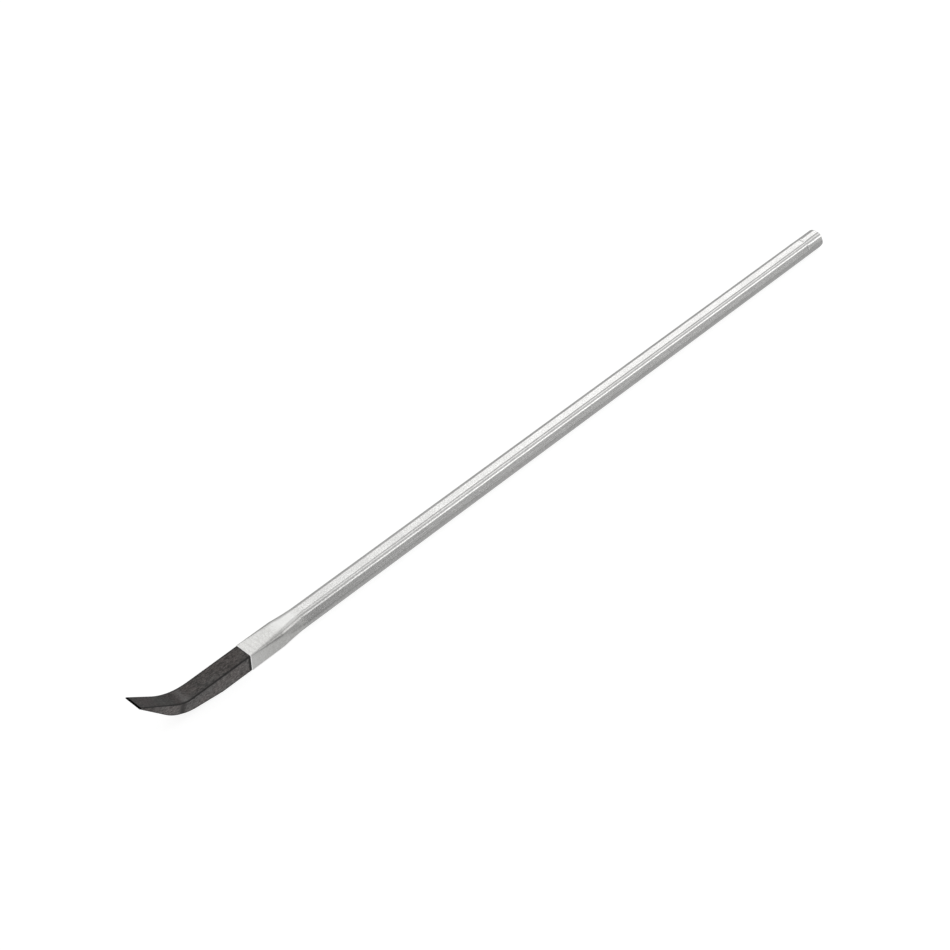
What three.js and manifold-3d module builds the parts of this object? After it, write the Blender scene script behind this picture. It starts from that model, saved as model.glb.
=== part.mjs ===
// A pry bar 48 inches long: a forged square steel blade whose tip bends up to a chisel edge, a
// hexagonal aluminium handle tube swaged square over the blade's tang, and a plug crimped into the
// tube's butt end.
//
// Millimetres, +Z up. The bar lies along X, with the chisel edge towards -X and the butt towards +X.
// The handle lies on one of its six flats, and the blade bends up, away from the surface. Inside
// the group, x = 0 is the joint between steel and aluminium and the x axis is the handle's axis;
// the group then moves the whole bar so that the origin is the bottom centre of its bounding box.
import * as THREE from "three";
import { mergeVertices } from "three/addons/utils/BufferGeometryUtils.js";
import Module from "manifold-3d";

// Whole bar
const OVERALL_LENGTH = 1219.2;
const FIT_GAP = 0.3;

// Steel blade, a 7/8 inch square bar. Each list of bends runs from the joint to the chisel edge; the
// last bend has no angle, because it turns until the bar points straight at the edge. The side
// towards -Y is bent more sharply than the side towards +Y.
const STEEL_SIDE = 22.2;
const EDGE_REACH = 147.8; // from the joint to the chisel edge
const EDGE_HEIGHT = 50.9; // from the handle's axis up to the edge
const EDGE_THICKNESS = 1.4; // the blunt end of the wedge
const EDGE_LEAN = 42; // degrees
const TOP_BENDS = [{ straight: 81.5, radius: 31.4 }];
const FAR_TOP_BENDS = [{ straight: 69.6, radius: 77.2 }];
const HEEL_BENDS = [{ straight: 40, radius: 20, angle: 8 }, { straight: 35, radius: 66 }];

// Tang, inside the handle
const TANG_SIDE = 14.4;
const TANG_CHAMFER = 1.6;
const TANG_LENGTH = 43;
const NECK_RADIUS = 6.6;
const NECK_END = 51;
const SPIGOT_END = 110;
const SPIGOT_TAPER = 4;

// Handle tube, hexagonal with well rounded corners and a round bore
const HEX_FLATS = 26.3;
const HEX_CORNER = 7;
const BUTT_CORNER = 9; // the corners are pressed rounder from the crimp to the butt
const BORE_RADIUS = 8.1;

// Socket, the stretch of the tube swaged square over the tang
const SOCKET = { mouthSide: 23.3, mouthCorner: 0.9, endSide: 26.1, endCorner: 6.4, length: 48 };
const SWAGE_END = 78;
const SWAGE_EASE = 1.3;
const SOCKET_BORE_CORNER = 1.0;
const BORE_STEP = { start: 45, end: 49 };

// Crimp groove rolled into the tube, which holds the butt plug
const CRIMP = { fromButt: 32.3, width: 5, depth: 0.3, rings: 6 };
const PLUG_LENGTH = 42;
const PLUG_CHAMFER = 1.5;

// How finely the round surfaces are divided
const ARC_STEPS = 4;
const SWAGE_STEPS = 8;
const ROUND_SEGMENTS = 48;
const BORE_SEGMENTS = 24;
const BEND_STEPS = 16;
const LEAST_ANGLE = 0.005; // radians; closer angles count as one

const BUTT_X = OVERALL_LENGTH - EDGE_REACH;
const CRIMP_X = BUTT_X - CRIMP.fromButt;
const SPIGOT_RADIUS = BORE_RADIUS - FIT_GAP;
const SOCKET_BORE = TANG_SIDE / 2 + FIT_GAP;

const wasm = await Module();
wasm.setup();

const steel = new THREE.MeshStandardMaterial({ color: 0x4b4643, roughness: 0.55, metalness: 0.85 });
const aluminium = new THREE.MeshStandardMaterial({ color: 0xd6d6d2, roughness: 0.22, metalness: 1 });
const plugMetal = new THREE.MeshStandardMaterial({ color: 0xb9bab8, roughness: 0.4, metalness: 1 });

const radians = THREE.MathUtils.degToRad;
const lerp = THREE.MathUtils.lerp;
const clamp01 = (value) => THREE.MathUtils.clamp(value, 0, 1);

// ---------------------------------------------------------------- solids

function toSolid(geometry) {
  const bare = geometry.clone();
  bare.deleteAttribute("normal");
  bare.deleteAttribute("uv");
  const merged = mergeVertices(bare, 1e-4);
  return new wasm.Manifold(
    new wasm.Mesh({
      numProp: 3,
      vertProperties: merged.attributes.position.array,
      triVerts: new Uint32Array(merged.index.array),
    }),
  );
}

function toGeometry(solid) {
  const mesh = solid.getMesh();
  const geometry = new THREE.BufferGeometry();
  geometry.setAttribute("position", new THREE.BufferAttribute(mesh.vertProperties, 3));
  geometry.setIndex(new THREE.BufferAttribute(mesh.triVerts, 1));
  geometry.computeVertexNormals();
  return geometry;
}

// A solid of revolution about the x axis. The profile is a list of [x, radius], from the axis back
// to the axis, with x rising.
function turned(profile) {
  const points = profile.map(([x, radius]) => new THREE.Vector2(radius, x));
  const geometry = new THREE.LatheGeometry(points, ROUND_SEGMENTS);
  geometry.rotateZ(-Math.PI / 2);
  return geometry;
}

// ---------------------------------------------------------------- cross sections

// Distance from the centre to the outline of a regular polygon with rounded corners. The flats lie
// at the distance flat from the centre, and one of them faces the angle facing.
function polygonRadius(angle, sides, facing, flat, corner) {
  const pitch = (2 * Math.PI) / sides;
  const turn = angle - facing;
  const fromNormal = Math.abs(turn - pitch * Math.round(turn / pitch));
  const tan = Math.tan(pitch / 2);
  if (flat * Math.tan(fromNormal) <= (flat - corner) * tan) {
    return flat / Math.cos(fromNormal);
  }
  const centre = (flat - corner) / Math.cos(pitch / 2);
  const fromCorner = pitch / 2 - fromNormal;
  const across = centre * Math.sin(fromCorner);
  return centre * Math.cos(fromCorner) + Math.sqrt(corner * corner - across * across);
}

const hexRadius = (angle, corner) => polygonRadius(angle, 6, Math.PI / 2, HEX_FLATS / 2, corner);
const squareRadius = (angle, flat, corner) => polygonRadius(angle, 4, 0, flat, corner);

// Angles round each corner of such a polygon, from the end of one flat to the start of the next.
function cornerAngles(sides, facing, flat, corner, steps) {
  const pitch = (2 * Math.PI) / sides;
  const flatEnd = Math.atan((1 - corner / flat) * Math.tan(pitch / 2));
  const angles = [];
  for (let side = 0; side < sides; side++) {
    for (let step = 0; step <= steps; step++) {
      angles.push(facing + side * pitch + lerp(flatEnd, pitch - flatEnd, step / steps));
    }
  }
  return angles;
}

// Angles at which every ring of the tube has a point, so that the hexagon, the socket's mouth and
// the socket's bore all keep their true flats, and the round bore stays round.
function ringAngles() {
  const full = 2 * Math.PI;
  const angles = [
    ...cornerAngles(6, Math.PI / 2, HEX_FLATS / 2, HEX_CORNER, ARC_STEPS),
    ...cornerAngles(4, 0, SOCKET.mouthSide / 2, SOCKET.mouthCorner, 2),
    ...cornerAngles(4, 0, SOCKET_BORE, SOCKET_BORE_CORNER, 2),
    ...Array.from({ length: BORE_SEGMENTS }, (_, i) => (full * i) / BORE_SEGMENTS),
  ];
  const sorted = angles.map((angle) => angle % full).sort((one, other) => one - other);
  return sorted.filter((angle, i) => i === 0 || angle - sorted[i - 1] > LEAST_ANGLE);
}

// Outside of the tube at the station x: square at the mouth, its sides flaring and its corners
// easing off along the socket, then blending into the hexagon, whose corners end rounder.
function tubeOutside(x, angle) {
  const alongSocket = clamp01(x / SOCKET.length);
  const flat = lerp(SOCKET.mouthSide, SOCKET.endSide, alongSocket) / 2;
  const corner = lerp(SOCKET.mouthCorner, SOCKET.endCorner, alongSocket);
  const alongSwage = clamp01((x - SOCKET.length) / (SWAGE_END - SOCKET.length));
  const blend = 1 - Math.pow(1 - alongSwage, SWAGE_EASE);
  const hexCorner = lerp(HEX_CORNER, BUTT_CORNER, clamp01((x - CRIMP_X) / CRIMP.width));
  const hexagon = hexRadius(angle, hexCorner);
  return lerp(squareRadius(angle, flat, corner), hexagon, blend) - crimpDepth(x);
}

function tubeInside(x, angle) {
  const along = clamp01((x - BORE_STEP.start) / (BORE_STEP.end - BORE_STEP.start));
  const square = squareRadius(angle, SOCKET_BORE, SOCKET_BORE_CORNER);
  return lerp(square, BORE_RADIUS, along) - crimpDepth(x);
}

function crimpDepth(x) {
  const across = Math.abs(x - CRIMP_X) / (CRIMP.width / 2);
  return across < 1 ? (CRIMP.depth * (1 + Math.cos(Math.PI * across))) / 2 : 0;
}

// ---------------------------------------------------------------- pieces

// One side of the blade as a path in the x-z plane, from the joint through its bends to the end.
function bladeSide(height, bends, end) {
  const points = [new THREE.Vector2(0, height)];
  let heading = 0;
  for (const bend of bends) {
    const before = points[points.length - 1];
    const radius = bend.radius;
    const centre = new THREE.Vector2(
      before.x - bend.straight * Math.cos(heading) + radius * Math.sin(heading),
      before.y + bend.straight * Math.sin(heading) + radius * Math.cos(heading),
    );
    const next = bend.angle ? heading + radians(bend.angle) : headingTo(end, centre, radius);
    for (let step = 0; step <= BEND_STEPS; step++) {
      const turn = lerp(heading, next, step / BEND_STEPS);
      const x = centre.x - radius * Math.sin(turn);
      points.push(new THREE.Vector2(x, centre.y - radius * Math.cos(turn)));
    }
    heading = next;
  }
  points.push(end);
  return points;
}

// The heading at which a path that turns about the centre points straight at the end.
function headingTo(end, centre, radius) {
  const away = end.clone().sub(centre);
  const run = Math.sqrt(away.lengthSq() - radius * radius);
  return Math.atan2(-away.x, -away.y) - Math.atan2(run, radius);
}

function makeBlade() {
  const half = STEEL_SIDE / 2;
  const lean = radians(EDGE_LEAN);
  const above = new THREE.Vector2(EDGE_THICKNESS * Math.sin(lean) - EDGE_REACH, EDGE_HEIGHT);
  const below = new THREE.Vector2(-EDGE_REACH, EDGE_HEIGHT - EDGE_THICKNESS * Math.cos(lean));
  const heel = bladeSide(-half, HEEL_BENDS, below).reverse();
  const near = [...bladeSide(half, TOP_BENDS, above), ...heel];
  const far = [...bladeSide(half, FAR_TOP_BENDS, above), ...heel];
  return toSolid(ruled(near, far, half)).add(toSolid(makeTang()));
}

// A body between two outlines in x and z, the near one at y = -half and the far one at y = half.
// Both have the same number of points and run anticlockwise as seen from -Y.
function ruled(near, far, half) {
  const count = near.length;
  const positions = [];
  near.forEach((point) => positions.push(point.x, -half, point.y));
  far.forEach((point) => positions.push(point.x, half, point.y));
  const triangles = [];
  for (const [a, b, c] of THREE.ShapeUtils.triangulateShape(near, [])) {
    triangles.push(a, b, c);
  }
  for (const [a, b, c] of THREE.ShapeUtils.triangulateShape(far, [])) {
    triangles.push(count + a, count + c, count + b);
  }
  for (let i = 0; i < count; i++) {
    const next = (i + 1) % count;
    triangles.push(i, count + i, count + next);
    triangles.push(i, count + next, next);
  }
  const geometry = new THREE.BufferGeometry();
  geometry.setAttribute("position", new THREE.Float32BufferAttribute(positions, 3));
  geometry.setIndex(triangles);
  return geometry;
}

// Chamfered square tang with a neck and a round spigot. It starts inside the blade, so that the two
// join into one forging.
function makeTang() {
  const buried = -STEEL_SIDE / 2;
  const half = TANG_SIDE / 2;
  const cut = half - TANG_CHAMFER;
  const section = new THREE.Shape([
    new THREE.Vector2(half, cut),
    new THREE.Vector2(cut, half),
    new THREE.Vector2(-cut, half),
    new THREE.Vector2(-half, cut),
    new THREE.Vector2(-half, -cut),
    new THREE.Vector2(-cut, -half),
    new THREE.Vector2(cut, -half),
    new THREE.Vector2(half, -cut),
  ]);
  const square = new THREE.ExtrudeGeometry(section, {
    depth: TANG_LENGTH - buried,
    bevelEnabled: false,
  });
  square.rotateY(Math.PI / 2);
  square.translate(buried, 0, 0);
  const spigot = turned([
    [buried, 0],
    [buried, NECK_RADIUS],
    [NECK_END, NECK_RADIUS],
    [NECK_END, SPIGOT_RADIUS],
    [SPIGOT_END - SPIGOT_TAPER, SPIGOT_RADIUS],
    [SPIGOT_END, SPIGOT_RADIUS - SPIGOT_TAPER / 2],
    [SPIGOT_END, 0],
  ]);
  return toGeometry(toSolid(square).add(toSolid(spigot)));
}

// Stations along the tube: evenly through the socket and the swage, closely across the step in the
// bore and across the crimp, and nothing between, where the tube is a plain prism.
function tubeStations() {
  const stations = [FIT_GAP, BORE_STEP.start, BORE_STEP.end, CRIMP_X + CRIMP.width, BUTT_X];
  for (let step = 1; step <= SWAGE_STEPS; step++) {
    stations.push((SOCKET.length * step) / SWAGE_STEPS);
    stations.push(SOCKET.length + ((SWAGE_END - SOCKET.length) * step) / SWAGE_STEPS);
  }
  for (let step = 0; step <= CRIMP.rings; step++) {
    stations.push(CRIMP_X + CRIMP.width * (step / CRIMP.rings - 0.5));
  }
  return [...new Set(stations)].sort((a, b) => a - b);
}

function makeTube() {
  const angles = ringAngles();
  const stations = tubeStations();
  const count = angles.length;
  const walls = [tubeOutside, tubeInside];
  const positions = [];
  for (const wall of walls) {
    for (const x of stations) {
      for (const angle of angles) {
        const radius = wall(x, angle);
        positions.push(x, radius * Math.cos(angle), radius * Math.sin(angle));
      }
    }
  }
  const vertex = (wall, ring, i) => (wall * stations.length + ring) * count + (i % count);
  const triangles = [];
  const quad = (a, b, c, d) => triangles.push(a, b, c, a, c, d);
  for (let i = 0; i < count; i++) {
    for (let ring = 0; ring + 1 < stations.length; ring++) {
      const outside = [vertex(0, ring, i), vertex(0, ring, i + 1)];
      const nextOutside = [vertex(0, ring + 1, i), vertex(0, ring + 1, i + 1)];
      quad(outside[0], outside[1], nextOutside[1], nextOutside[0]);
      const inside = [vertex(1, ring, i), vertex(1, ring, i + 1)];
      const nextInside = [vertex(1, ring + 1, i), vertex(1, ring + 1, i + 1)];
      quad(inside[0], nextInside[0], nextInside[1], inside[1]);
    }
    const end = stations.length - 1;
    quad(vertex(0, 0, i), vertex(1, 0, i), vertex(1, 0, i + 1), vertex(0, 0, i + 1));
    quad(vertex(0, end, i), vertex(0, end, i + 1), vertex(1, end, i + 1), vertex(1, end, i));
  }
  const geometry = new THREE.BufferGeometry();
  geometry.setAttribute("position", new THREE.Float32BufferAttribute(positions, 3));
  geometry.setIndex(triangles);
  geometry.computeVertexNormals();
  return geometry;
}

// Plug with a groove that the tube's crimp reaches into. Its outer end is flush with the butt.
function makePlug() {
  const radius = BORE_RADIUS - FIT_GAP;
  const grooveHalf = CRIMP.width / 2 + FIT_GAP;
  const grooveFloor = radius - CRIMP.depth - FIT_GAP;
  const inner = BUTT_X - PLUG_LENGTH;
  return turned([
    [inner, 0],
    [inner, radius - PLUG_CHAMFER],
    [inner + PLUG_CHAMFER, radius],
    [CRIMP_X - grooveHalf, radius],
    [CRIMP_X - grooveHalf / 2, grooveFloor],
    [CRIMP_X + grooveHalf / 2, grooveFloor],
    [CRIMP_X + grooveHalf, radius],
    [BUTT_X, radius],
    [BUTT_X, 0],
  ]);
}

// ---------------------------------------------------------------- the bar

function piece(name, geometry, material) {
  const mesh = new THREE.Mesh(geometry, material);
  mesh.name = name;
  return mesh;
}

const bar = new THREE.Group();
bar.add(piece("steel_blade", toGeometry(makeBlade()), steel));
bar.add(piece("handle_tube", makeTube(), aluminium));
bar.add(piece("butt_plug", makePlug(), plugMetal));

const box = new THREE.Box3().setFromObject(bar);
bar.position.set(-(box.min.x + box.max.x) / 2, 0, -box.min.z);

const root = new THREE.Group();
root.add(bar);

export default root;
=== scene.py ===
"""Looks of the pry bar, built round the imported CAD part.

Everything is in metres in the CAD frame: the bar lies along X, chisel edge towards -X, on z = 0.
Inside the builders below, sizes are millimetres from the joint between steel and aluminium, on the
handle's axis, and placed() turns them into the frame.
"""
import math
from bisect import bisect_left

import bmesh
import bpy
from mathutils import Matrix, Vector, noise


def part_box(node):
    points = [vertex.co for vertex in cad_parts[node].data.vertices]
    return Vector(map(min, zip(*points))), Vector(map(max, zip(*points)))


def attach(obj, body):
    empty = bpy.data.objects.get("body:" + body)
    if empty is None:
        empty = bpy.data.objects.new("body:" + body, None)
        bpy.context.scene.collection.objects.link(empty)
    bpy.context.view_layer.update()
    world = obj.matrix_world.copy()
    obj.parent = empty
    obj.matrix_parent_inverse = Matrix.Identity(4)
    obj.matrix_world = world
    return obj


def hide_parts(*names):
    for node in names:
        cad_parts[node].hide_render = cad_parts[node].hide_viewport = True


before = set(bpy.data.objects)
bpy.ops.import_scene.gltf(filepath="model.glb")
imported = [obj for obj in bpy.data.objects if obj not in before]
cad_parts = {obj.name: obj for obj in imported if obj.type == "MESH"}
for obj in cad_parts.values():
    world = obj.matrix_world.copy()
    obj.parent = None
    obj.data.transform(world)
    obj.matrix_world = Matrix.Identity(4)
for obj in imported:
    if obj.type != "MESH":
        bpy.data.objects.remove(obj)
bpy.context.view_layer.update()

MM = 0.001
TURN = 2 * math.pi

# ------------------------------------------------------------------ dimensions, as in the CAD
FIT_GAP = 0.3
STEEL_SIDE = 22.2
EDGE_THICKNESS = 1.4
EDGE_LEAN = math.radians(42)
# Bends from the joint to the edge: the straight before each, its radius and its angle in degrees.
# The last one turns until the bar points at the edge.
TOP_BENDS = ((81.5, 31.4, None),)
FAR_TOP_BENDS = ((69.6, 77.2, None),)
HEEL_BENDS = ((40.0, 20.0, 8.0), (35.0, 66.0, None))
TANG_SIDE = 14.4
TANG_CHAMFER = 1.6
TANG_LENGTH = 43.0
NECK_RADIUS = 6.6
NECK_END = 51.0
SPIGOT_END = 110.0
SPIGOT_TAPER = 4.0
HEX_FLATS = 26.3
HEX_CORNER = 7.0
BUTT_CORNER = 9.0
BORE_RADIUS = 8.1
SPIGOT_RADIUS = BORE_RADIUS - FIT_GAP
SOCKET_LENGTH = 48.0
MOUTH_SIDE, MOUTH_CORNER = 23.3, 0.9
SOCKET_SIDE, SOCKET_CORNER = 26.1, 6.4
SWAGE_END = 78.0
SWAGE_EASE = 1.3
SOCKET_BORE_CORNER = 1.0
BORE_STEP = (45.0, 49.0)
CRIMP_FROM_BUTT = 32.3
CRIMP_WIDTH = 5.0
CRIMP_DEPTH = 0.3
PLUG_LENGTH = 42.0
PLUG_CHAMFER = 1.5

# ------------------------------------------------------------------ places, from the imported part
tube_low, tube_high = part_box("handle_tube")
blade_low, blade_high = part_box("steel_blade")
AXIS_Z = (tube_low.z + tube_high.z) / 2
JOINT_X = tube_low.x - FIT_GAP * MM
BUTT = (tube_high.x - JOINT_X) / MM
EDGE_REACH = (JOINT_X - blade_low.x) / MM
EDGE_HEIGHT = (blade_high.z - AXIS_Z) / MM
CRIMP_X = BUTT - CRIMP_FROM_BUTT


def placed(x, y, z):
    """A point of the millimetre space round the joint, in the frame."""
    return Vector((JOINT_X + x * MM, y * MM, AXIS_Z + z * MM))


def lerp(a, b, t):
    return a + (b - a) * t


def clamp01(t):
    return max(0.0, min(1.0, t))


def smooth(t):
    t = clamp01(t)
    return t * t * (3 - 2 * t)


# ------------------------------------------------------------------ camera, before anything else
CAMERA_AZIMUTH = math.radians(-47.6)
CAMERA_ELEVATION = math.radians(41.75)
CAMERA_FROM_JOINT = (-845.5, -1109.1, 1489.35)
CAMERA_LENS = 70.82
SENSOR_WIDTH = 36.0


def make_camera():
    data = bpy.data.cameras.new("camera")
    data.lens = CAMERA_LENS
    data.sensor_width = SENSOR_WIDTH
    data.sensor_fit = "AUTO"
    data.clip_start, data.clip_end = 0.05, 200
    camera = bpy.data.objects.new("camera", data)
    bpy.context.scene.collection.objects.link(camera)
    back = Vector((
        math.sin(CAMERA_AZIMUTH) * math.cos(CAMERA_ELEVATION),
        -math.cos(CAMERA_AZIMUTH) * math.cos(CAMERA_ELEVATION),
        math.sin(CAMERA_ELEVATION),
    ))
    camera.location = placed(*CAMERA_FROM_JOINT)
    camera.rotation_mode = "QUATERNION"
    camera.rotation_quaternion = (-back).to_track_quat("-Z", "Y")
    bpy.context.scene.camera = camera


# ------------------------------------------------------------------ node helpers
class Nodes:
    """Short calls for building a node tree."""

    def __init__(self, tree):
        self.tree = tree
        tree.nodes.clear()

    def add(self, kind, **settings):
        node = self.tree.nodes.new(kind)
        for key, value in settings.items():
            setattr(node, key, value)
        return node

    def link(self, output, target):
        self.tree.links.new(output, target)

    def feed(self, target, value):
        """Sets a socket to a number or colour, or links an output to it."""
        if isinstance(value, bpy.types.NodeSocket):
            self.link(value, target)
        elif isinstance(value, (tuple, list)) and len(value) == 3 and target.type == "RGBA":
            target.default_value = (*value, 1.0)
        else:
            target.default_value = value

    def math(self, operation, *values, clamp=False):
        node = self.add("ShaderNodeMath", operation=operation, use_clamp=clamp)
        for target, value in zip(node.inputs, values):
            self.feed(target, value)
        return node.outputs[0]

    def coords(self, stretch=(1.0, 1.0, 1.0), turn=(0.0, 0.0, 0.0), shift=(0.0, 0.0, 0.0)):
        """Position in the frame, in metres, stretched, turned and shifted."""
        source = self.add("ShaderNodeTexCoord")
        mapping = self.add("ShaderNodeMapping")
        mapping.inputs["Scale"].default_value = stretch
        mapping.inputs["Rotation"].default_value = turn
        mapping.inputs["Location"].default_value = shift
        self.link(source.outputs["Object"], mapping.inputs["Vector"])
        return mapping.outputs["Vector"]

    def parts(self, vector):
        """The X, Y and Z of a vector."""
        node = self.add("ShaderNodeSeparateXYZ")
        self.link(vector, node.inputs["Vector"])
        return node.outputs["X"], node.outputs["Y"], node.outputs["Z"]

    def noise(self, vector, scale, detail=3.0, roughness=0.5):
        node = self.add("ShaderNodeTexNoise")
        self.link(vector, node.inputs["Vector"])
        node.inputs["Scale"].default_value = scale
        node.inputs["Detail"].default_value = detail
        node.inputs["Roughness"].default_value = roughness
        return node.outputs["Fac"]

    def ramp(self, value, stops):
        """Maps a value through stops of (place, grey)."""
        node = self.add("ShaderNodeValToRGB")
        self.link(value, node.inputs["Fac"])
        elements = node.color_ramp.elements
        while len(elements) < len(stops):
            elements.new(1.0)
        for element, (place, _) in zip(elements, stops):
            element.position = place
        for element, (_, grey) in zip(elements, stops):
            element.color = (grey, grey, grey, 1)
        return node.outputs["Color"]

    def remap(self, value, low, high, to_low, to_high):
        node = self.add("ShaderNodeMapRange", clamp=True)
        for key, number in (("From Min", low), ("From Max", high),
                            ("To Min", to_low), ("To Max", to_high)):
            node.inputs[key].default_value = number
        self.link(value, node.inputs["Value"])
        return node.outputs["Result"]

    def mix(self, factor, one, other, blend="MIX"):
        node = self.add("ShaderNodeMix", data_type="RGBA", blend_type=blend)
        self.feed(node.inputs[0], factor)
        self.feed(node.inputs[6], one)
        self.feed(node.inputs[7], other)
        return node.outputs[2]

    def grey(self, value):
        """A number as a grey colour, not limited to 1."""
        node = self.add("ShaderNodeCombineColor")
        for target in node.inputs:
            self.link(value, target)
        return node.outputs[0]

    def bump(self, height, strength, distance, normal=None):
        node = self.add("ShaderNodeBump")
        node.inputs["Strength"].default_value = strength
        node.inputs["Distance"].default_value = distance
        self.link(height, node.inputs["Height"])
        if normal is not None:
            self.link(normal, node.inputs["Normal"])
        return node.outputs["Normal"]

    def surface(self, **sockets):
        """A Principled surface with these sockets."""
        shader = self.add("ShaderNodeBsdfPrincipled")
        output = self.add("ShaderNodeOutputMaterial")
        for key, value in sockets.items():
            self.feed(shader.inputs[key.replace("_", " ")], value)
        self.link(shader.outputs["BSDF"], output.inputs["Surface"])


def material(name):
    made = bpy.data.materials.new(name)
    made.use_nodes = True
    return made, Nodes(made.node_tree)


# ------------------------------------------------------------------ materials
# Zones of the handle's finish and its painted light: where each change starts and ends, in
# millimetres from the joint.
RIM_HIGHLIGHT_FADE = (0.6, 0.9)            # from the painted highlight on the mouth's rim to the socket
SATIN_FADE = (73.0, 85.0)        # from the swage's satin to drawn metal
PAINTED_TOP_HIGHLIGHT_RISE = (36.0, 52.0)   # painted highlight on the top of the swage, from here
PAINTED_TOP_HIGHLIGHT_FADE = (70.0, 82.0)   # to here
MOUTH_PAINTED_SHEEN_FADE = (6.0, 34.0)   # painted sheen: the socket's sides are brighter near the mouth
# Painted shade in bands along the socket's upper corners. From the start distance below to the
# axis, measured across and up, the shade sets in over the ease below, and the bands widen over this
# zone.
SHADE_CORNER_WIDENS = (0.0, 40.0)
SHADE_CORNER_START = (10.5, 4.5)
SHADE_CORNER_EASE = 4.5
# Changes with height, in millimetres from the handle's axis.
PAINTED_HIGHLIGHT_UPPER_RISE = (4.0, 12.0)         # from the painted sheen of the sides to the painted highlight of the top
PAINTED_UNDERSIDE_SHADE_FADE = (-12.2, -9.8)   # from the painted shade of the underside to the sides

DRAWN_TONES = ((0.855, 0.850, 0.840), (0.975, 0.972, 0.96))
DIE_LINE_TONE = (0.80, 0.797, 0.79)
SPECKLE_TONE = (0.62, 0.615, 0.605)
SATIN_TONES = ((0.84, 0.84, 0.82), (1.0, 1.0, 0.985))
PRESS_MARK_TONE = (0.66, 0.655, 0.63)
SATIN_SPECKLE_TONE = (0.62, 0.615, 0.60)
# Painted highlight and painted sheen.
PAINTED_HIGHLIGHT_TONE = (1.0, 1.0, 0.985)
# Painted shade, along the socket's upper corners and underside.
PAINTED_SHADE_TONE = (0.42, 0.415, 0.40)
# Painted highlight on the mouth's rim, white and barely metallic.
RIM_HIGHLIGHT_TONE = (1.0, 1.0, 1.0)
SATIN_METAL = 0.93
RIM_HIGHLIGHT_METAL = (0.2, 0.2, 0.2)


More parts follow.
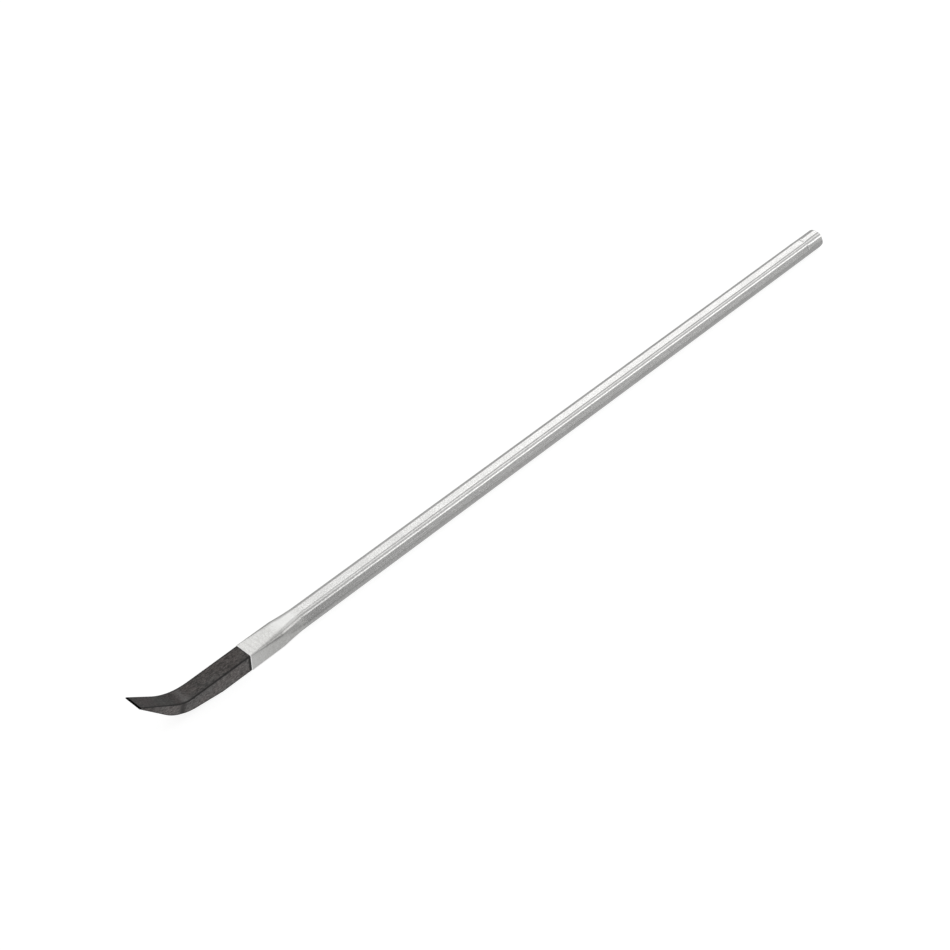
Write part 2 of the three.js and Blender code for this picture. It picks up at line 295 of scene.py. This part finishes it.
def aluminium_material():
    """Bright extruded aluminium, satin and finely grained where the socket was swaged. Painted
    highlight and sheen on the swage's top, the socket's sides and the mouth's rim; painted shade
    along the socket's upper corners and underside.
    """
    made, n = material("extruded_aluminium")
    x, y, z = n.parts(n.coords())

    def along(zone, before, after):
        """A value that changes over a zone of the bar's length."""
        return n.remap(x, JOINT_X + zone[0] * MM, JOINT_X + zone[1] * MM, before, after)

    def rising(zone, below, above):
        """A value that changes over a zone of height."""
        return n.remap(z, AXIS_Z + zone[0] * MM, AXIS_Z + zone[1] * MM, below, above)

    die_lines = n.noise(n.coords((30, 1300, 1300)), 1.0, 4, 0.6)
    broad_lines = n.noise(n.coords((6, 520, 520)), 1.0, 2, 0.5)
    grain = n.noise(n.coords(), 2600, 3, 0.6)
    speckle = n.noise(n.coords((900, 620, 620), (0.0, 0.3, 0.4)), 1.0, 3, 0.7)
    patches = n.noise(n.coords((34, 90, 90)), 1.0, 3, 0.55)
    handling = n.noise(n.coords((70, 260, 260), (0.2, 0.3, 0.1)), 1.0, 4, 0.6)
    press_marks = n.noise(n.coords((520, 150, 150), (0.0, 0.12, 0.08)), 1.0, 4, 0.6)
    mottle = n.noise(n.coords(), 420, 4, 0.65)

    drawn = n.mix(n.remap(patches, 0.35, 0.65, 0.0, 1.0), *DRAWN_TONES)
    drawn = n.mix(n.remap(die_lines, 0.35, 0.65, 0.0, 0.35), drawn, DIE_LINE_TONE)
    drawn = n.mix(n.remap(speckle, 0.42, 0.62, 0.0, 0.75), drawn, SPECKLE_TONE)

    satin = n.mix(n.remap(mottle, 0.35, 0.65, 0.0, 1.0), *SATIN_TONES)
    satin = n.mix(n.remap(press_marks, 0.42, 0.7, 0.0, 0.65), satin, PRESS_MARK_TONE)
    satin = n.mix(n.remap(speckle, 0.42, 0.62, 0.0, 0.45), satin, SATIN_SPECKLE_TONE)
    # Painted highlight on the top of the swage.
    painted_top_highlight = n.math("MULTIPLY", along(PAINTED_TOP_HIGHLIGHT_RISE, 0.0, 0.8),
                        along(PAINTED_TOP_HIGHLIGHT_FADE, 1.0, 0.0))
    # Painted sheen on the socket's sides near the mouth.
    painted_side_sheen = along(MOUTH_PAINTED_SHEEN_FADE, 0.6, 0.0)
    painted_highlight = n.mix(rising(PAINTED_HIGHLIGHT_UPPER_RISE, 0.0, 1.0), n.grey(painted_side_sheen), n.grey(painted_top_highlight))
    satin = n.mix(painted_highlight, satin, PAINTED_HIGHLIGHT_TONE)
    # Painted shade along the upper corners. The smaller of the distances across and up from the
    # axis is largest at the upper corners.
    corner = n.math("MINIMUM", n.math("ABSOLUTE", y), n.math("SUBTRACT", z, AXIS_Z))
    shade_corner_start = along(SHADE_CORNER_WIDENS, SHADE_CORNER_START[0] * MM, SHADE_CORNER_START[1] * MM)
    corner = n.math("SUBTRACT", corner, shade_corner_start)
    corner = n.math("DIVIDE", corner, SHADE_CORNER_EASE * MM, clamp=True)
    satin = n.mix(n.math("MULTIPLY", corner, 0.42), satin, PAINTED_SHADE_TONE)
    # Painted shade on the underside.
    satin = n.mix(rising(PAINTED_UNDERSIDE_SHADE_FADE, 0.45, 0.0), satin, PAINTED_SHADE_TONE)

    worked = along(SATIN_FADE, 1.0, 0.0)
    # Painted highlight on the mouth's rim, white and barely metallic.
    rim = along(RIM_HIGHLIGHT_FADE, 1.0, 0.0)
    base = n.mix(rim, n.mix(worked, drawn, satin), RIM_HIGHLIGHT_TONE)
    metal = n.mix(rim, n.remap(worked, 0.0, 1.0, 1.0, SATIN_METAL), RIM_HIGHLIGHT_METAL)

    rough = n.math("MULTIPLY_ADD", die_lines, 0.10, 0.11)
    rough = n.math("MULTIPLY_ADD", handling, 0.05, rough)
    rough_satin = n.math("MULTIPLY_ADD", grain, 0.10, 0.24)
    rough = n.mix(worked, rough, rough_satin)

    normal = n.bump(die_lines, 0.25, 0.00004)
    normal = n.bump(broad_lines, 0.15, 0.00006, normal)
    normal = n.bump(speckle, 0.3, 0.00006, normal)
    normal = n.bump(n.math("MULTIPLY", grain, worked), 0.45, 0.00008, normal)
    normal = n.bump(n.math("MULTIPLY", press_marks, worked), 0.35, 0.00012, normal)
    n.surface(Base_Color=base, Metallic=metal, Roughness=rough, Normal=normal)
    return made


# Where on the blade each change of look lies, painted light and shade among them; make_blade()
# fills them in.
STEEL_LOOKS = ("arris", "blunt_edge", "scuff", "side", "crease", "tip", "wedge")
# Each pair is a greyer and a browner tone of the same forged skin; the flanks' pair is painted
# lighter than the top's, and the tip's pair darker, as painted shade.
TOP_TONES = ((0.066, 0.0625, 0.060), (0.071, 0.0615, 0.058))
PAINTED_LIGHTER_FLANK_TONES = ((0.094, 0.090, 0.088), (0.099, 0.089, 0.086))
PAINTED_SHADE_TIP_TONES = ((0.038, 0.037, 0.035), (0.044, 0.036, 0.035))
WEDGE_TONE = (0.060, 0.052, 0.050)
STREAK_TONE = (0.17, 0.16, 0.155)
PIT_TONE = (0.03, 0.027, 0.026)
SCUFF_TONE = (0.175, 0.170, 0.167)
# Painted shade in the near flank's crease.
PAINTED_CREASE_SHADE_TONE = (0.022, 0.020, 0.020)
ARRIS_TONE = (0.008, 0.007, 0.007)
BLUNT_EDGE_TONE = (0.003, 0.003, 0.003)


def steel_material():
    """Dark brown-grey forged steel, with a fine scale, and darker along its arrises. Its flanks are
    painted lighter than its top; painted shade darkens the bent tip and the near flank's crease.
    """
    made, n = material("forged_steel")
    arris, edge, scuff, side, crease, tip, wedge = (
        n.add("ShaderNodeAttribute", attribute_name=name).outputs["Fac"] for name in STEEL_LOOKS)

    blotches = n.noise(n.coords(), 75, 4, 0.6)
    browning = n.noise(n.coords(turn=(0.4, 0.2, 0.1)), 48, 2, 0.5)
    scale_grain = n.noise(n.coords(), 900, 4, 0.65)
    pits = n.noise(n.coords(), 2400, 3, 0.6)
    grit = n.noise(n.coords((0.55, 1.2, 1.2)), 460, 3, 0.7)
    streaks = n.noise(n.coords((260, 900, 700), (0.0, 0.5, 0.2)), 1.0, 3, 0.6)
    scratches = n.noise(n.coords((420, 90, 420), (0.0, 0.3, 0.1)), 1.0, 4, 0.6)

    browned = n.remap(browning, 0.38, 0.60, 0.0, 1.0)
    top, flanks, tip_top = (
        n.mix(browned, *tones) for tones in (TOP_TONES, PAINTED_LIGHTER_FLANK_TONES, PAINTED_SHADE_TIP_TONES))
    # Painted light: the flanks are lighter than the top.
    base = n.mix(side, top, flanks)
    # Painted shade on the bent tip's top and bottom faces.
    base = n.mix(n.math("MULTIPLY", tip, n.math("SUBTRACT", 1.0, side)), base, tip_top)
    base = n.mix(n.math("MULTIPLY", wedge, side), base, WEDGE_TONE)
    shade = n.remap(blotches, 0.3, 0.7, 0.86, 1.14)
    shade = n.math("MULTIPLY", shade, n.remap(grit, 0.32, 0.68, 0.20, 1.80))
    shade = n.math("MULTIPLY", shade, n.remap(scale_grain, 0.35, 0.65, 0.55, 1.45))
    base = n.mix(1.0, base, n.grey(shade), "MULTIPLY")
    base = n.mix(n.remap(streaks, 0.52, 0.72, 0.0, 0.55), base, STREAK_TONE)
    base = n.mix(n.remap(pits, 0.56, 0.7, 0.0, 0.5), base, PIT_TONE)
    rubbed = n.math("MULTIPLY", n.remap(scratches, 0.35, 0.65, 0.25, 1.0), scuff)
    base = n.mix(rubbed, base, SCUFF_TONE)
    # Painted shade in the crease.
    base = n.mix(n.math("MULTIPLY", crease, 0.85), base, PAINTED_CREASE_SHADE_TONE)
    base = n.mix(n.math("MULTIPLY", arris, 0.95), base, ARRIS_TONE)
    base = n.mix(edge, base, BLUNT_EDGE_TONE)

    rough = n.math("MULTIPLY_ADD", scale_grain, 0.22, 0.42)
    shine = n.math("MULTIPLY_ADD", edge, -0.3, 0.3)
    normal = n.bump(scale_grain, 0.35, 0.00010)
    normal = n.bump(pits, 0.3, 0.00005, normal)
    normal = n.bump(blotches, 0.5, 0.0004, normal)
    n.surface(Base_Color=base, Metallic=0.0, Roughness=rough, Normal=normal,
              Specular_IOR_Level=shine)
    return made


LATHE_FEED = 0.35 * MM  # between one turned ring and the next
TURNED_TONES = ((0.62, 0.62, 0.61), (0.76, 0.76, 0.75))


def plug_material():
    """Aluminium with the fine rings of a lathe tool."""
    made, n = material("turned_aluminium")
    _, y, z = n.parts(n.coords(shift=(0, 0, -AXIS_Z)))
    square = n.math("ADD", n.math("MULTIPLY", y, y), n.math("MULTIPLY", z, z))
    radius = n.math("SQRT", square)
    rings = n.math("SINE", n.math("MULTIPLY", radius, TURN / LATHE_FEED))
    stain = n.noise(n.coords(), 420, 3, 0.6)
    base = n.mix(n.remap(stain, 0.3, 0.7, 0.0, 1.0), *TURNED_TONES)
    rough = n.math("MULTIPLY_ADD", stain, 0.15, 0.27)
    normal = n.bump(rings, 0.3, 0.00003)
    n.surface(Base_Color=base, Metallic=1.0, Roughness=rough, Normal=normal)
    return made


# ------------------------------------------------------------------ mesh helpers
SHARP_ANGLE = math.radians(40)


def loft(name, rings, closed=False, attributes=None):
    """A mesh through rings of points. It closes on itself, or its two ends are capped."""
    count = len(rings[0])
    mesh = bmesh.new()
    layers = {key: mesh.verts.layers.float.new(key) for key in (attributes or {})}
    verts = [[mesh.verts.new(point) for point in ring] for ring in rings]
    for key, layer in layers.items():
        for ring, values in zip(verts, attributes[key]):
            for vert, value in zip(ring, values):
                vert[layer] = value
    last = len(rings) if closed else len(rings) - 1
    for j in range(last):
        one, other = verts[j], verts[(j + 1) % len(rings)]
        for i in range(count):
            k = (i + 1) % count
            mesh.faces.new((one[i], one[k], other[k], other[i]))
    if not closed:
        mesh.faces.new(verts[0])
        mesh.faces.new(verts[-1])
    bmesh.ops.recalc_face_normals(mesh, faces=mesh.faces)
    for face in mesh.faces:
        face.smooth = True
    for edge in mesh.edges:
        if edge.calc_face_angle(0) > SHARP_ANGLE:
            edge.smooth = False
    data = bpy.data.meshes.new(name)
    mesh.to_mesh(data)
    mesh.free()
    made = bpy.data.objects.new(name, data)
    bpy.context.scene.collection.objects.link(made)
    return made


def polygon_radius(angle, sides, facing, flat, corner):
    """Distance from the centre to the outline of a regular polygon with rounded corners."""
    pitch = TURN / sides
    turn = angle - facing
    from_normal = abs(turn - pitch * round(turn / pitch))
    if flat * math.tan(from_normal) <= (flat - corner) * math.tan(pitch / 2):
        return flat / math.cos(from_normal)
    centre = (flat - corner) / math.cos(pitch / 2)
    from_corner = pitch / 2 - from_normal
    across = centre * math.sin(from_corner)
    return centre * math.cos(from_corner) + math.sqrt(corner * corner - across * across)


# ------------------------------------------------------------------ handle tube
RING_POINTS = 240
MOUTH_X = 0.1      # the pressed joint, closer than the CAD's fit gap
MOUTH_EASE = 0.45  # rounding of the mouth's outer edge
BUTT_EASE = 0.5    # rounding of the butt's outer edge
EASE_STEPS = 3
END_MARGIN = 1.2   # from either end to the first plain ring
# The longest step between rings along each stretch of the tube.
SOCKET_STEP = 1.5
SWAGE_STEP = 1.0
PLAIN_STEP = 20.0
CRIMP_STEP = 0.25
CORNER_CHANGE_STEP = 0.5
BUTT_STEP = 9.0
INSIDE_CRIMP_STEP = 0.5
# Shallow lines left by the extrusion die: the angle round the section, the width and the depth.
# They start as the swage ends, and rise to their full depth over a short length.
DIE_LINES_START = 74.0
DIE_LINES_RISE = 10.0
DIE_LINE_LIMIT = 2.5  # widths from its middle, beyond which a line is too shallow to count
DIE_LINES = ((151.5, 0.9, 0.025), (161.0, 0.9, 0.02), (143.5, 0.5, 0.02), (104.0, 0.5, 0.02),
             (83.0, 0.6, 0.02), (22.0, 0.7, 0.04), (200.0, 0.7, 0.04), (272.0, 0.8, 0.03),
             (330.0, 0.8, 0.04))


def crimp_depth(x):
    across = abs(x - CRIMP_X) / (CRIMP_WIDTH / 2)
    return CRIMP_DEPTH * (1 + math.cos(math.pi * across)) / 2 if across < 1 else 0.0


def die_line_depth(x, angle):
    depth = 0.0
    degrees = math.degrees(angle)
    for place, width, most in DIE_LINES:
        away = abs(degrees - place) / width
        if away < DIE_LINE_LIMIT:
            depth += most * math.exp(-away * away)
    return depth * smooth((x - DIE_LINES_START) / DIE_LINES_RISE)


def tube_outside(x, angle):
    along = clamp01(x / SOCKET_LENGTH)
    flat = lerp(MOUTH_SIDE, SOCKET_SIDE, along) / 2
    corner = lerp(MOUTH_CORNER, SOCKET_CORNER, along)
    along_swage = clamp01((x - SOCKET_LENGTH) / (SWAGE_END - SOCKET_LENGTH))
    blend = 1 - (1 - along_swage) ** SWAGE_EASE
    square = polygon_radius(angle, 4, 0, flat, corner)
    hex_corner = lerp(HEX_CORNER, BUTT_CORNER, clamp01((x - CRIMP_X) / CRIMP_WIDTH))
    hexagon = polygon_radius(angle, 6, math.pi / 2, HEX_FLATS / 2, hex_corner)
    return lerp(square, hexagon, blend) - crimp_depth(x) - die_line_depth(x, angle)


def tube_inside(x, angle):
    along = clamp01((x - BORE_STEP[0]) / (BORE_STEP[1] - BORE_STEP[0]))
    square = polygon_radius(angle, 4, 0, TANG_SIDE / 2 + FIT_GAP, SOCKET_BORE_CORNER)
    return lerp(square, BORE_RADIUS, along) - crimp_depth(x)


def spread(start, end, step):
    """Evenly spaced stations from start to end, no further apart than step."""
    count = max(1, math.ceil((end - start) / step))
    return [lerp(start, end, i / count) for i in range(count + 1)]


def make_handle():
    angles = [TURN * i / RING_POINTS for i in range(RING_POINTS)]
    crimp_start, crimp_end = CRIMP_X - CRIMP_WIDTH / 2, CRIMP_X + CRIMP_WIDTH / 2

    def ring(x, wall, inset=0.0):
        points = []
        for angle in angles:
            radius = wall(x, angle) - inset
            points.append(placed(x, radius * math.cos(angle), radius * math.sin(angle)))
        return points

    rings = [ring(MOUTH_X, tube_inside)]
    for step in range(EASE_STEPS + 1):
        turn = math.pi / 2 * step / EASE_STEPS
        rings.append(ring(MOUTH_X + MOUTH_EASE * (1 - math.cos(turn)), tube_outside,
                          MOUTH_EASE * (1 - math.sin(turn))))
    outer = [END_MARGIN]
    for end, step in ((SOCKET_LENGTH, SOCKET_STEP), (SWAGE_END, SWAGE_STEP),
                      (crimp_start, PLAIN_STEP), (crimp_end, CRIMP_STEP),
                      (CRIMP_X + CRIMP_WIDTH, CORNER_CHANGE_STEP), (BUTT - END_MARGIN, BUTT_STEP)):
        outer += spread(outer[-1], end, step)[1:]
    rings += [ring(x, tube_outside) for x in outer]
    for step in range(EASE_STEPS + 1):
        turn = math.pi / 2 * step / EASE_STEPS
        rings.append(ring(BUTT - BUTT_EASE * (1 - math.sin(turn)), tube_outside,
                          BUTT_EASE * (1 - math.cos(turn))))
    inside_crimp = spread(crimp_start, crimp_end, INSIDE_CRIMP_STEP)
    inner = [BUTT, *reversed(inside_crimp), BORE_STEP[1], BORE_STEP[0]]
    rings += [ring(x, tube_inside) for x in inner]
    return loft("handle", rings, closed=True)


# ------------------------------------------------------------------ steel blade
ARRIS_RADIUS = 0.3
ARRIS_HEIGHT_SHARE = 0.42  # the most of the half height that an arris takes, where it is thin
ARRIS_STEPS = 5
ARRIS_SPILL = 0.75         # how far the dark of an arris reaches the first points beside it
FACE_STEPS = 14
FACE_CROWDING = 0.6        # how strongly a face's points gather towards its arrises
BLADE_STEPS = 180
PATH_STEPS = 24            # in each bend
# Shares of the blade's length, counted from the joint:
CREASE_PLACE = 0.585       # where the near flank folded as the bar was bent
CREASE_REACH = 0.026
SCUFF_PLACE = 0.555        # where the top face is rubbed bright, beside the crease
SCUFF_REACH = 0.030
SCUFF_FAR_LOSS = 0.6       # how much of the rubbing is gone at the far side
# Where the painted shade on the bent tip sets in, and over what length it grows:
TIP_SHADE_START, TIP_SHADE_FADE = CREASE_PLACE - 0.06, 0.12
WEDGE_START, WEDGE_FADE = 0.74, 0.18
JOINT_CALM, EDGE_CALM = 0.05, 0.1   # where the forged swell dies out, at either end
# In millimetres:
CREASE_DEPTH = 0.25
FORGED_SWELL = 0.06        # how far the forged faces stray from flat
SWELL_FREQUENCY = 0.045    # waves of the swell to a millimetre
SWELL_SEED = Vector((0, 3.1, 7.7))
SWELL_LEAST_HEIGHT = 3.0   # keeps the swell small where the blade is thin
BLUNT_EDGE_BAND = 2.4      # the dark band at the chisel edge
NEAR_SHOULDER_BAND = 3.0   # the dark band at the joint, on the near flank and elsewhere
SHOULDER_BAND = 0.5


def blade_side(height, bends, end):
    """Points (x, z) along one side of the blade, from the joint through its bends to the end."""
    points = [Vector((0.0, height))]
    heading = 0.0
    for straight, radius, angle in bends:
        before = points[-1]
        centre = Vector((before.x - straight * math.cos(heading) + radius * math.sin(heading),
                         before.y + straight * math.sin(heading) + radius * math.cos(heading)))
        if angle is None:
            away = end - centre
            run = math.sqrt(away.length_squared - radius * radius)
            following = math.atan2(-away.x, -away.y) - math.atan2(run, radius)
        else:
            following = heading + math.radians(angle)
        for step in range(PATH_STEPS + 1):
            turn = lerp(heading, following, step / PATH_STEPS)
            points.append(centre - radius * Vector((math.sin(turn), math.cos(turn))))
        heading = following
    points.append(end)
    return points


def follow(points):
    """A function from 0 to 1 along a path of points, and the path's length."""
    lengths = [0.0]
    for one, other in zip(points, points[1:]):
        lengths.append(lengths[-1] + (other - one).length)

    def at(u):
        distance = u * lengths[-1]
        i = max(1, min(len(points) - 1, bisect_left(lengths, distance)))
        step = lengths[i] - lengths[i - 1]
        return points[i - 1].lerp(points[i], (distance - lengths[i - 1]) / step if step else 0.0)

    return at, lengths[-1]


def rounded_section(half_width, half_height, corner):
    """Points (across, up, arris, flank) round a rounded rectangle."""
    points = []
    corners = ((1, 1), (-1, 1), (-1, -1), (1, -1))
    for index, (side, up) in enumerate(corners):
        start = math.pi / 2 * index
        for step in range(ARRIS_STEPS + 1):
            turn = start + math.pi / 2 * step / ARRIS_STEPS
            points.append((side * (half_width - corner) + corner * math.cos(turn),
                           up * (half_height - corner) + corner * math.sin(turn), 1.0, 0.5))
        next_side, next_up = corners[(index + 1) % 4]
        first = points[-1]
        turn = start + math.pi / 2
        last = (next_side * (half_width - corner) + corner * math.cos(turn),
                next_up * (half_height - corner) + corner * math.sin(turn))
        for step in range(1, FACE_STEPS):
            t = step / FACE_STEPS
            t = lerp(t, smooth(t), FACE_CROWDING)
            beside = ARRIS_SPILL if step in (1, FACE_STEPS - 1) else 0.0
            points.append((lerp(first[0], last[0], t), lerp(first[1], last[1], t), beside,
                           float(index % 2)))
    return points


def bell(u, middle, reach):
    return math.exp(-((u - middle) / reach) ** 2)


def tang_radius(angle):
    """Distance from the axis to the outline of the square tang with its chamfered corners."""
    folded = abs((angle + math.pi / 4) % (math.pi / 2) - math.pi / 4)
    flat = TANG_SIDE / 2 / math.cos(folded)
    chamfer = (TANG_SIDE - TANG_CHAMFER) / math.sqrt(2) / math.cos(math.pi / 4 - folded)
    return min(flat, chamfer)


def make_blade():
    half = STEEL_SIDE / 2
    above = Vector((EDGE_THICKNESS * math.sin(EDGE_LEAN) - EDGE_REACH, EDGE_HEIGHT))
    below = Vector((-EDGE_REACH, EDGE_HEIGHT - EDGE_THICKNESS * math.cos(EDGE_LEAN)))
    near_top, _ = follow(blade_side(half, TOP_BENDS, above))
    far_top, _ = follow(blade_side(half, FAR_TOP_BENDS, above))
    heel, heel_length = follow(blade_side(-half, HEEL_BENDS, below))
    rings = []
    looks = {key: [] for key in STEEL_LOOKS}

    def section_ring(u):
        """The blade's section at a share u of its length, with its looks."""
        foot = heel(u)
        height = ((near_top(u) + far_top(u)) / 2 - foot).length / 2
        radius = min(ARRIS_RADIUS, height * ARRIS_HEIGHT_SHARE)
        swell = FORGED_SWELL * smooth(u / JOINT_CALM) * smooth((1 - u) / EDGE_CALM)
        fold = bell(u, CREASE_PLACE, CREASE_REACH)
        scuffed = bell(u, SCUFF_PLACE, SCUFF_REACH)
        from_joint, from_edge = u * heel_length, (1 - u) * heel_length
        points = []
        values = {key: [] for key in looks}
        for across, rise, on_arris, flank in rounded_section(half, height, radius):
            far_share = clamp01(across / STEEL_SIDE + 0.5)
            top = near_top(u).lerp(far_top(u), far_share)
            middle, up = (top + foot) / 2, (top - foot) / 2
            place = middle + up * (rise / height)
            spot = Vector((place.x, across, place.y)) * SWELL_FREQUENCY + SWELL_SEED
            inward = -abs(noise.noise(spot)) * swell
            swollen = 1 + inward / max(height, SWELL_LEAST_HEIGHT)
            place = middle + up * (rise / height * swollen)
            pinch = CREASE_DEPTH * fold if across < 0 else 0.0
            points.append(placed(place.x, across * (1 + (inward - pinch) / half), place.y))
            near_flank = flank == 1.0 and across < 0
            on_top = flank == 0.0 and rise > 0
            shoulder = NEAR_SHOULDER_BAND if near_flank else SHOULDER_BAND
            values["arris"].append(1.0 if from_joint < shoulder else on_arris)
            values["blunt_edge"].append(1.0 if from_edge < BLUNT_EDGE_BAND else 0.0)
            values["scuff"].append(scuffed * (1 - SCUFF_FAR_LOSS * far_share) if on_top else 0.0)
            # The flanks, which are painted lighter than the top.
            values["side"].append(flank)
            # Painted shade in the near flank's crease.
            values["crease"].append(fold if near_flank else 0.0)
            # Painted shade over the bent tip.
            values["tip"].append(smooth((u - TIP_SHADE_START) / TIP_SHADE_FADE))
            values["wedge"].append(smooth((u - WEDGE_START) / WEDGE_FADE))
        rings.append(points)
        for key in looks:
            looks[key].append(values[key])

    for step in range(BLADE_STEPS, -1, -1):
        section_ring(step / BLADE_STEPS)

    # Inside the handle: the tang, the neck and the spigot, with as many points to a ring.
    section = rounded_section(half, half, ARRIS_RADIUS)
    angles = [math.atan2(rise, across) for across, rise, _, _ in section]
    tang_outline = [tang_radius(angle) for angle in angles]

    def hidden_ring(x, radii):
        rings.append([placed(x, radius * math.cos(angle), radius * math.sin(angle))
                      for angle, radius in zip(angles, radii)])
        for values in looks.values():
            values.append([0.0] * len(angles))

    hidden_ring(0.0, tang_outline)
    hidden_ring(TANG_LENGTH, tang_outline)
    for x, radius in ((TANG_LENGTH, NECK_RADIUS), (NECK_END, NECK_RADIUS),
                      (NECK_END, SPIGOT_RADIUS), (SPIGOT_END - SPIGOT_TAPER, SPIGOT_RADIUS),
                      (SPIGOT_END, SPIGOT_RADIUS - SPIGOT_TAPER / 2)):
        hidden_ring(x, [radius] * len(angles))
    return loft("blade", rings, attributes=looks)


# ------------------------------------------------------------------ butt plug
PLUG_POINTS = 96
PLUG_EASE = 0.4          # rounding of its outer edge
PLUG_INNER_CENTRE = 1.0  # radius of the flat middle of its inner end
# The lathe's centre mark in its outer face: the depth and the radius of each ring.
CENTRE_MARK = ((0.0, 5.0), (0.0, 2.2), (0.5, 1.2), (1.4, 0.5))


def make_plug():
    groove_half = CRIMP_WIDTH / 2 + FIT_GAP
    floor_radius = SPIGOT_RADIUS - CRIMP_DEPTH - FIT_GAP
    inner = BUTT - PLUG_LENGTH
    profile = [(inner, PLUG_INNER_CENTRE), (inner, SPIGOT_RADIUS - PLUG_CHAMFER),
               (inner + PLUG_CHAMFER, SPIGOT_RADIUS), (CRIMP_X - groove_half, SPIGOT_RADIUS),
               (CRIMP_X - groove_half / 2, floor_radius), (CRIMP_X + groove_half / 2, floor_radius),
               (CRIMP_X + groove_half, SPIGOT_RADIUS), (BUTT - PLUG_EASE, SPIGOT_RADIUS),
               (BUTT - PLUG_EASE / 3, SPIGOT_RADIUS - PLUG_EASE / 4),
               (BUTT, SPIGOT_RADIUS - PLUG_EASE)]
    profile += [(BUTT - depth, radius) for depth, radius in CENTRE_MARK]
    rings = []
    for x, radius in profile:
        rings.append([placed(x, radius * math.cos(TURN * i / PLUG_POINTS),
                             radius * math.sin(TURN * i / PLUG_POINTS))
                      for i in range(PLUG_POINTS)])
    return loft("plug", rings)


# ------------------------------------------------------------------ floor and light
FLOOR_SIDE = 60.0  # in metres
FLOOR_ALBEDO = (0.32, 0.32, 0.319)
FLOOR_GLOW = 0.83
BACKDROP = 0.98
# Brightness of the studio round the bar's axis: degrees from the far horizon (0) over the top
# (90) to the near horizon (180) and under the ground (270), and the radiance there.
STUDIO = (
    (0, 0.42), (24, 0.38), (43, 0.42), (49, 1.08), (53, 1.32), (60, 1.26), (65, 0.74), (69, 0.33),
    (80, 0.35), (90, 0.84), (106, 1.08), (116, 0.55), (130, 0.49), (142, 0.84), (152, 1.40),
    (166, 1.55), (169, 0.48), (174, 0.355), (190, 0.37), (208, 0.43), (232, 0.40), (252, 0.40),
    (290, 0.42), (330, 0.42), (360, 0.42),
)
# The same in the gap between the strip lights, which the socket reflects.
STUDIO_GAP = (
    (0, 0.42), (24, 0.40), (40, 0.50), (47, 0.80), (54, 1.02), (62, 1.04), (70, 0.95), (84, 0.74),
    (100, 0.53), (118, 0.35), (134, 0.25), (150, 0.20), (170, 0.17), (200, 0.18), (214, 0.28),
    (226, 0.46), (236, 0.53), (252, 0.42), (290, 0.32), (330, 0.36), (360, 0.42),
)
STUDIO_SCALE = 2.0  # a ramp's colours stop at 1, so its levels are halved and doubled again
# The gap's place along the bar, as the X part of a direction. It sets in over GAP_START. Below
# the first angle of GAP_CHANGE it ends late and softly, and above the second early and sharply.
GAP_START = (0.05, 0.25)
GAP_CHANGE = (64, 72)
GAP_END = (0.50, 0.440)
GAP_END_FADE = (0.08, 0.008)


def make_floor():
    data = bpy.data.meshes.new("floor")
    half = FLOOR_SIDE / 2
    data.from_pydata([(-half, -half, 0), (half, -half, 0), (half, half, 0), (-half, half, 0)],
                     [], [(0, 1, 2, 3)])
    floor = bpy.data.objects.new("floor", data)
    bpy.context.scene.collection.objects.link(floor)
    made, n = material("pale_floor")
    n.surface(Base_Color=FLOOR_ALBEDO, Roughness=0.9, Specular_IOR_Level=0.1,
              Emission_Color=(1, 1, 1), Emission_Strength=FLOOR_GLOW)
    data.materials.append(made)
    floor.visible_glossy = False


def make_studio():
    world = bpy.data.worlds.new("studio")
    bpy.context.scene.world = world
    world.use_nodes = True
    n = Nodes(world.node_tree)
    direction = n.add("ShaderNodeTexCoord")
    x, y, z = n.parts(direction.outputs["Generated"])
    around = n.math("ARCTAN2", z, y)
    turn = n.math("FRACT", n.math("ADD", n.math("DIVIDE", around, TURN), 1.0))
    full, dim = (
        n.ramp(turn, [(degrees / 360, level / STUDIO_SCALE) for degrees, level in levels])
        for levels in (STUDIO, STUDIO_GAP))
    change = [degrees / 360 for degrees in GAP_CHANGE]
    gap_end = n.remap(turn, *change, *GAP_END)
    gap_fade = n.remap(turn, *change, *GAP_END_FADE)
    past_gap = n.math("DIVIDE", n.math("SUBTRACT", x, gap_end), gap_fade, clamp=True)
    before_gap = n.remap(x, *GAP_START, 1.0, 0.0)
    studio = n.add("ShaderNodeBackground")
    n.link(n.mix(n.math("MAXIMUM", past_gap, before_gap), dim, full), studio.inputs["Color"])
    studio.inputs["Strength"].default_value = STUDIO_SCALE
    backdrop = n.add("ShaderNodeBackground")
    backdrop.inputs["Color"].default_value = (BACKDROP, BACKDROP, BACKDROP, 1)
    path = n.add("ShaderNodeLightPath")
    mixed = n.add("ShaderNodeMixShader")
    n.link(path.outputs["Is Camera Ray"], mixed.inputs["Fac"])
    n.link(studio.outputs["Background"], mixed.inputs[1])
    n.link(backdrop.outputs["Background"], mixed.inputs[2])
    output = n.add("ShaderNodeOutputWorld")
    n.link(mixed.outputs["Shader"], output.inputs["Surface"])


# ------------------------------------------------------------------ the scene
make_camera()

PIECES = (
    (make_blade, steel_material, "steel_blade", "forged_steel"),
    (make_handle, aluminium_material, "handle_tube", "handle_aluminium"),
    (make_plug, plug_material, "butt_plug", "plug_aluminium"),
)
for make, finish_of, node, slot in PIECES:
    piece = make()
    piece.data.materials.append(finish_of())
    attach(piece, "root")
    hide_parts(node)

make_floor()
make_studio()
bpy.context.scene.view_settings.view_transform = "Standard"
